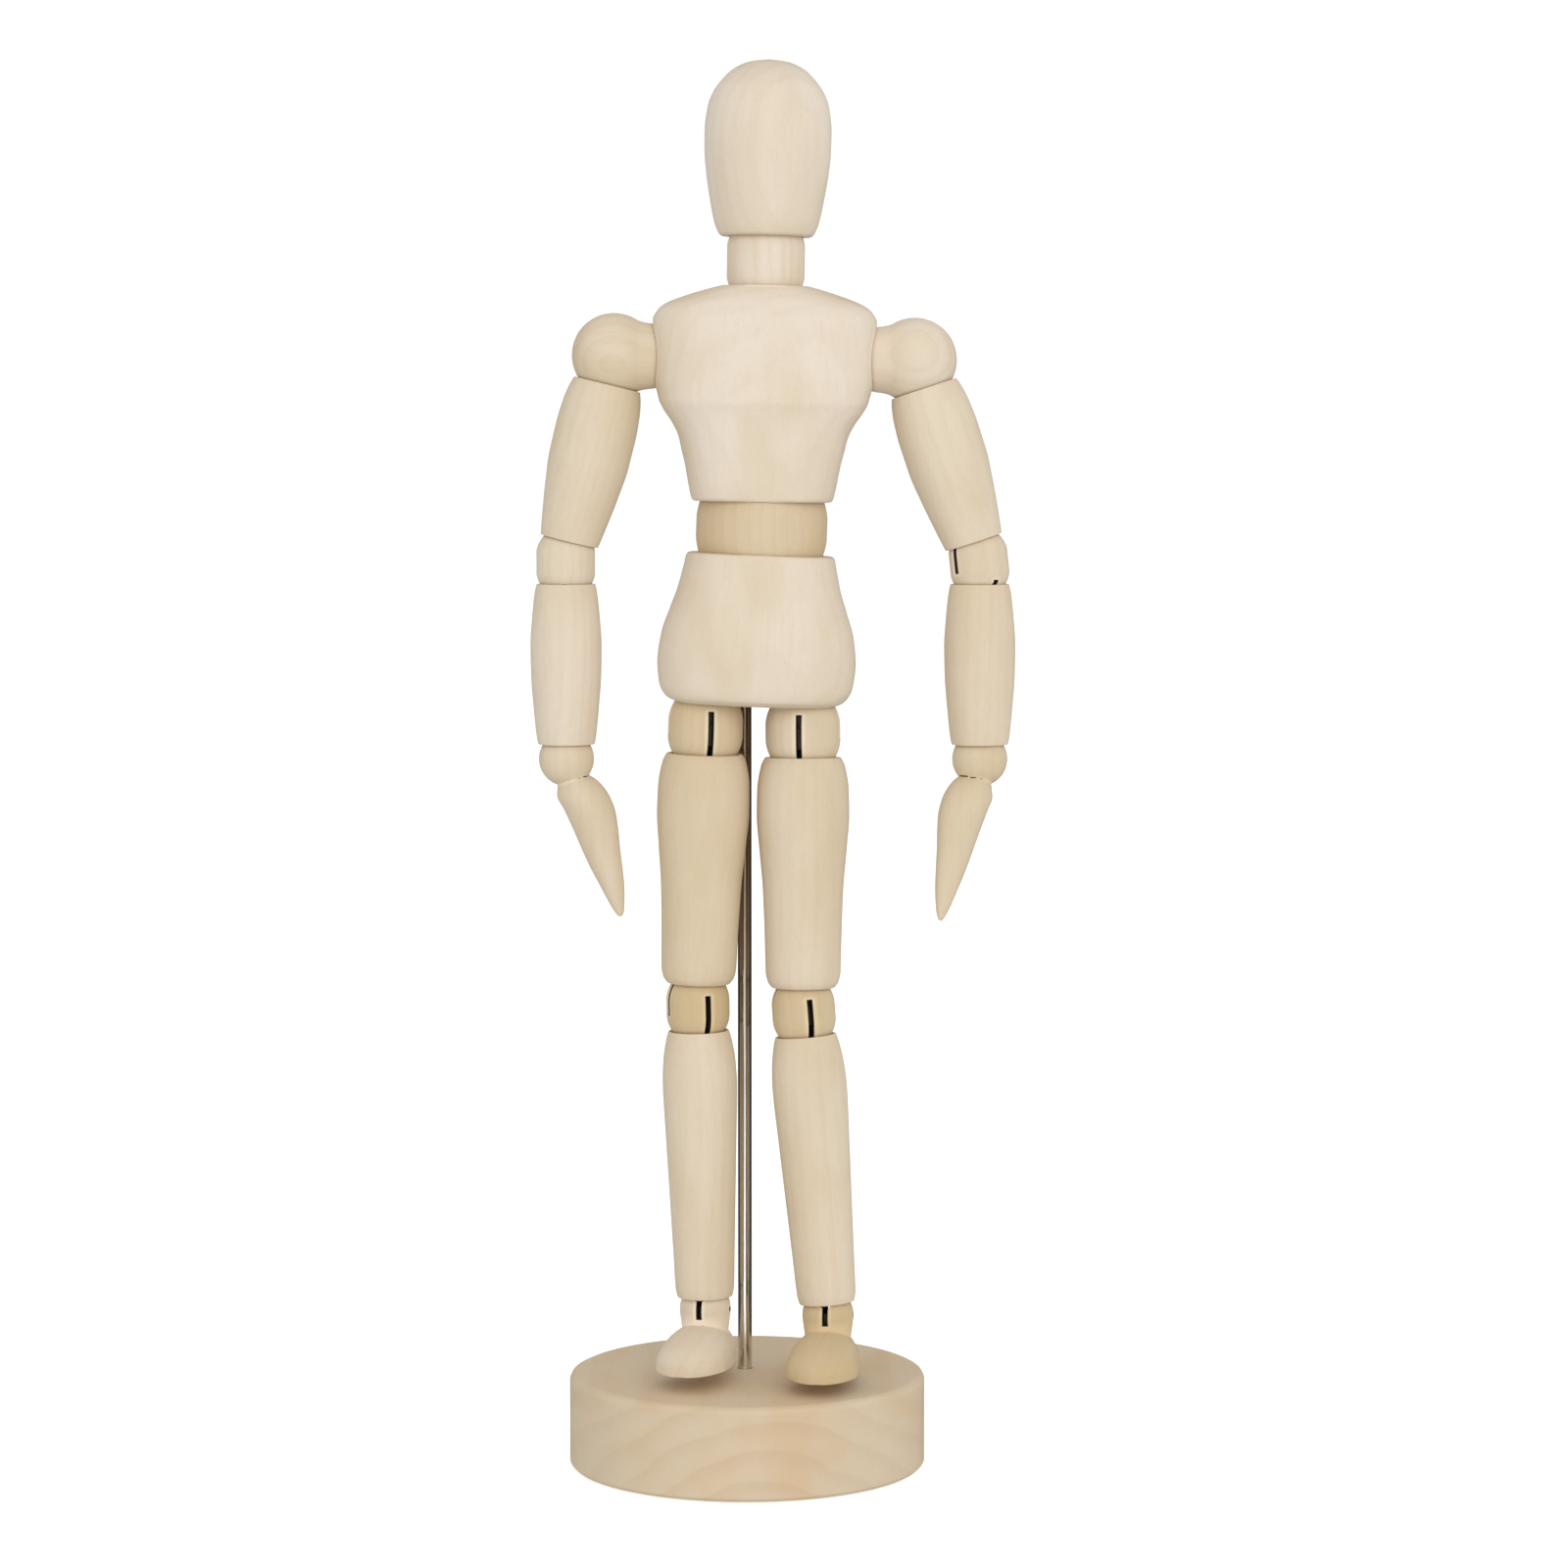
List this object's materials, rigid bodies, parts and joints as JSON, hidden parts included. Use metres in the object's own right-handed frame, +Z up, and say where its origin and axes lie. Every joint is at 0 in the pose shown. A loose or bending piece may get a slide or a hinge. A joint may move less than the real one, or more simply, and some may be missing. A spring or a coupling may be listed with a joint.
{
  "type": "artist mannequin",
  "caption": "Jointed wooden artist figure with turned limbs, slotted ball joints and inner springs, on a steel rod and a round wooden base.",
  "frame": {"origin": "centre of the base's underside", "axes": "+Z up through the figure, which faces -Y; +X is the figure's own left"},
  "size_m": [0.1034, 0.077, 0.3018],
  "materials": {
    "body_wood": "bare sanded pale hardwood",
    "joint_wood": "bare sanded hardwood, a little yellower",
    "base_wood": "bare sanded hardwood with flat-sawn figure",
    "rod_steel": "bright plated rod",
    "spring_steel": "drawn spring wire",
    "pin_steel": "plain wire nail"
  },
  "bodies": {
    "base": {"base_disc": "base_wood"},
    "rod": {"support_rod": "rod_steel"},
    "pelvis": {"pelvis": "body_wood", "pelvis_pin": "pin_steel", "right_hip_spring": "spring_steel", "left_hip_spring": "spring_steel"},
    "waist_barrel": {"waist_barrel": "joint_wood"},
    "waist_spring": {"waist_spring": "spring_steel"},
    "chest": {"chest": "body_wood", "shoulder_spring": "spring_steel"},
    "neck_barrel": {"neck_barrel": "joint_wood"},
    "neck_spring": {"neck_spring": "spring_steel"},
    "head": {"head": "body_wood", "head_pin": "pin_steel"},
    "right_shoulder_ball": {"right_shoulder_ball": "joint_wood", "right_shoulder_pin": "pin_steel"},
    "right_upper_arm_spring": {"right_upper_arm_spring": "spring_steel"},
    "right_upper_arm": {"right_upper_arm": "body_wood"},
    "right_elbow_ball": {"right_elbow_ball": "joint_wood", "right_elbow_upper_pin": "pin_steel", "right_elbow_lower_pin": "pin_steel"},
    "right_forearm_spring": {"right_forearm_spring": "spring_steel"},
    "right_forearm": {"right_forearm": "body_wood"},
    "right_hand": {"right_hand": "body_wood", "right_wrist_pin": "pin_steel"},
    "right_hip_ball": {"right_hip_ball": "joint_wood", "right_hip_upper_pin": "pin_steel", "right_hip_lower_pin": "pin_steel"},
    "right_thigh_spring": {"right_thigh_spring": "spring_steel"},
    "right_thigh": {"right_thigh": "body_wood"},
    "right_knee_ball": {"right_knee_ball": "joint_wood", "right_knee_upper_pin": "pin_steel", "right_knee_lower_pin": "pin_steel"},
    "right_shin_spring": {"right_shin_spring": "spring_steel"},
    "right_shin": {"right_shin": "body_wood"},
    "right_foot": {"right_foot": "body_wood", "right_ankle_pin": "pin_steel"},
    "left_shoulder_ball": {"left_shoulder_ball": "joint_wood", "left_shoulder_pin": "pin_steel"},
    "left_upper_arm_spring": {"left_upper_arm_spring": "spring_steel"},
    "left_upper_arm": {"left_upper_arm": "body_wood"},
    "left_elbow_ball": {"left_elbow_ball": "joint_wood", "left_elbow_upper_pin": "pin_steel", "left_elbow_lower_pin": "pin_steel"},
    "left_forearm_spring": {"left_forearm_spring": "spring_steel"},
    "left_forearm": {"left_forearm": "body_wood"},
    "left_hand": {"left_hand": "body_wood", "left_wrist_pin": "pin_steel"},
    "left_hip_ball": {"left_hip_ball": "joint_wood", "left_hip_upper_pin": "pin_steel", "left_hip_lower_pin": "pin_steel"},
    "left_thigh_spring": {"left_thigh_spring": "spring_steel"},
    "left_thigh": {"left_thigh": "body_wood"},
    "left_knee_ball": {"left_knee_ball": "joint_wood", "left_knee_upper_pin": "pin_steel", "left_knee_lower_pin": "pin_steel"},
    "left_shin_spring": {"left_shin_spring": "spring_steel"},
    "left_shin": {"left_shin": "body_wood"},
    "left_foot": {"left_foot": "body_wood", "left_ankle_pin": "pin_steel"}
  },
  "joints": [
    {"name": "rod_turn", "type": "hinge", "parent": "base", "child": "rod", "pos_m": [-0.0005, 0.0025, 0.02], "axis": [0, 0, 1], "continuous": true},
    {"name": "figure_lift", "type": "slide", "parent": "rod", "child": "pelvis", "axis": [0, 0, 1], "range_m": [0, 0.02]},
    {"name": "waist_bend", "type": "hinge", "parent": "pelvis", "child": "waist_barrel", "pos_m": [0.00321, -0.006, 0.20192], "axis": [0.9993, 0, -0.0384], "range_deg": [-20, 25], "deforming": ["waist_spring"]},
    {"name": "waist_lean", "type": "hinge", "parent": "waist_barrel", "child": "waist_spring", "pos_m": [0.00329, -0.006, 0.20402], "axis": [0, 1, 0], "range_deg": [-5, 6], "deforming": ["waist_spring"]},
    {"name": "waist_twist", "type": "hinge", "parent": "waist_spring", "child": "chest", "pos_m": [0.00329, -0.006, 0.20402], "axis": [0.0157, 0, 0.9999], "range_deg": [-40, 40], "deforming": ["waist_spring"]},
    {"name": "neck_nod", "type": "hinge", "parent": "chest", "child": "neck_barrel", "pos_m": [0.00412, -0.006, 0.25722], "axis": [0.9999, 0, -0.0157], "range_deg": [-25, 30], "deforming": ["neck_spring"]},
    {"name": "neck_tilt", "type": "hinge", "parent": "neck_barrel", "child": "neck_spring", "pos_m": [0.00419, -0.006, 0.26141], "axis": [0, 1, 0], "range_deg": [-25, 25], "deforming": ["neck_spring"]},
    {"name": "head_turn", "type": "hinge", "parent": "neck_spring", "child": "head", "pos_m": [0.00419, -0.006, 0.26141], "axis": [0.0175, 0, 0.9998], "range_deg": [-90, 90], "deforming": ["neck_spring"]},
    {"name": "right_shoulder_swing", "type": "hinge", "parent": "chest", "child": "right_shoulder_ball", "pos_m": [-0.02806, -0.006, 0.23947], "axis": [-0.9999, 0, 0.0157], "range_deg": [-60, 170], "deforming": ["shoulder_spring"]},
    {"name": "right_shoulder_raise", "type": "hinge", "parent": "right_shoulder_ball", "child": "right_upper_arm_spring", "pos_m": [-0.02806, -0.006, 0.23947], "axis": [0, 1, 0], "range_deg": [-3, 75]},
    {"name": "right_upper_arm_twist", "type": "hinge", "parent": "right_upper_arm_spring", "child": "right_upper_arm", "pos_m": [-0.02806, -0.006, 0.23947], "axis": [-0.2385, 0, -0.9711], "range_deg": [-90, 90], "deforming": ["right_upper_arm_spring"]},
    {"name": "right_elbow_tilt", "type": "hinge", "parent": "right_upper_arm", "child": "right_elbow_ball", "pos_m": [-0.03848, -0.006, 0.19703], "axis": [0, 1, 0], "range_deg": [0, 30]},
    {"name": "right_elbow_bend", "type": "hinge", "parent": "right_elbow_ball", "child": "right_forearm_spring", "pos_m": [-0.03848, -0.006, 0.19423], "axis": [-1, 0, 0], "range_deg": [-40, 50]},
    {"name": "right_forearm_twist", "type": "hinge", "parent": "right_forearm_spring", "child": "right_forearm", "pos_m": [-0.03848, -0.006, 0.19423], "axis": [0, 0, -1], "range_deg": [-90, 90], "deforming": ["right_forearm_spring"]},
    {"name": "right_wrist_bend", "type": "hinge", "parent": "right_forearm", "child": "right_hand", "pos_m": [-0.03848, -0.006, 0.15373], "axis": [-1, 0, 0], "range_deg": [-50, 50]},
    {"name": "right_hip_tilt", "type": "hinge", "parent": "pelvis", "child": "right_hip_ball", "pos_m": [-0.00875, -0.006, 0.16165], "axis": [-0.1735, 0.9848, 0.0067], "range_deg": [0, 10]},
    {"name": "right_hip_swing", "type": "hinge", "parent": "right_hip_ball", "child": "right_thigh_spring", "pos_m": [-0.00883, -0.006, 0.15885], "axis": [-0.9844, -0.1736, 0.0284], "range_deg": [0, 45]},
    {"name": "right_thigh_twist", "type": "hinge", "parent": "right_thigh_spring", "child": "right_thigh", "pos_m": [-0.00883, -0.006, 0.15885], "axis": [-0.0288, 0, -0.9996], "range_deg": [-5, 45], "deforming": ["right_thigh_spring"]},
    {"name": "right_knee_tilt", "type": "hinge", "parent": "right_thigh", "child": "right_knee_ball", "pos_m": [-0.01047, -0.006, 0.10178], "axis": [-0.3582, 0.9336, 0.0103], "range_deg": [0, 25]},
    {"name": "right_knee_bend", "type": "hinge", "parent": "right_knee_ball", "child": "right_shin_spring", "pos_m": [-0.01043, -0.00595, 0.09898], "axis": [0.9335, 0.3579, 0.0212], "range_deg": [-20, 50]},
    {"name": "right_shin_twist", "type": "hinge", "parent": "right_shin_spring", "child": "right_shin", "pos_m": [-0.01043, -0.00595, 0.09898], "axis": [0.0227, 0, -0.9997], "range_deg": [-10, 45], "deforming": ["right_shin_spring"]},
    {"name": "right_ankle_bend", "type": "hinge", "parent": "right_shin", "child": "right_foot", "pos_m": [-0.00898, -0.00595, 0.03494], "axis": [-0.9659, 0.2588, 0], "range_deg": [-4, 35]},
    {"name": "left_shoulder_swing", "type": "hinge", "parent": "chest", "child": "left_shoulder_ball", "pos_m": [0.03573, -0.006, 0.23847], "axis": [-0.9999, 0, 0.0157], "range_deg": [-60, 170], "deforming": ["shoulder_spring"]},
    {"name": "left_shoulder_raise", "type": "hinge", "parent": "left_shoulder_ball", "child": "left_upper_arm_spring", "pos_m": [0.03573, -0.006, 0.23847], "axis": [0, -1, 0], "range_deg": [-3, 75]},
    {"name": "left_upper_arm_twist", "type": "hinge", "parent": "left_upper_arm_spring", "child": "left_upper_arm", "pos_m": [0.03573, -0.006, 0.23847], "axis": [-0.3123, 0, 0.95], "range_deg": [-90, 90], "deforming": ["left_upper_arm_spring"]},
    {"name": "left_elbow_tilt", "type": "hinge", "parent": "left_upper_arm", "child": "left_elbow_ball", "pos_m": [0.04938, -0.006, 0.19695], "axis": [0.5449, -0.8192, 0.1791], "range_deg": [-15, 30]},
    {"name": "left_elbow_bend", "type": "hinge", "parent": "left_elbow_ball", "child": "left_forearm_spring", "pos_m": [0.04967, -0.00641, 0.1942], "axis": [-0.8323, -0.5543, -0.0029], "range_deg": [-40, 50]},
    {"name": "left_forearm_twist", "type": "hinge", "parent": "left_forearm_spring", "child": "left_forearm", "pos_m": [0.04967, -0.00641, 0.1942], "axis": [-0.0035, 0, 1], "range_deg": [-90, 90], "deforming": ["left_forearm_spring"]},
    {"name": "left_wrist_bend", "type": "hinge", "parent": "left_forearm", "child": "left_hand", "pos_m": [0.04981, -0.00641, 0.1537], "axis": [-0.7586, -0.6516, -0.0026], "range_deg": [-50, 50]},
    {"name": "left_hip_tilt", "type": "hinge", "parent": "pelvis", "child": "left_hip_ball", "pos_m": [0.01204, -0.006, 0.16085], "axis": [-0.1218, -0.9925, 0.0047], "range_deg": [0, 25]},
    {"name": "left_hip_swing", "type": "hinge", "parent": "left_hip_ball", "child": "left_thigh_spring", "pos_m": [0.01205, -0.00602, 0.15805], "axis": [-0.9925, 0.1218, -0.0049], "range_deg": [0, 45]},
    {"name": "left_thigh_twist", "type": "hinge", "parent": "left_thigh_spring", "child": "left_thigh", "pos_m": [0.01205, -0.00602, 0.15805], "axis": [-0.0009, 0.0332, 0.9994], "range_deg": [-5, 45], "deforming": ["left_thigh_spring"]},
    {"name": "left_knee_tilt", "type": "hinge", "parent": "left_thigh", "child": "left_knee_ball", "pos_m": [0.0121, -0.00791, 0.10099], "axis": [0.225, -0.9738, 0.0325], "range_deg": [0, 25]},
    {"name": "left_knee_bend", "type": "hinge", "parent": "left_knee_ball", "child": "left_shin_spring", "pos_m": [0.01231, -0.00795, 0.09819], "axis": [0.9714, 0.2268, 0.0706], "range_deg": [-20, 50]},
    {"name": "left_shin_twist", "type": "hinge", "parent": "left_shin_spring", "child": "left_shin", "pos_m": [0.01231, -0.00795, 0.09819], "axis": [-0.0802, 0.0332, 0.9962], "range_deg": [-4, 45], "deforming": ["left_shin_spring"]},
    {"name": "left_ankle_bend", "type": "hinge", "parent": "left_shin", "child": "left_foot", "pos_m": [0.01745, -0.01008, 0.03438], "axis": [-0.9903, 0.1392, 0], "range_deg": [-4, 35]}
  ]
}
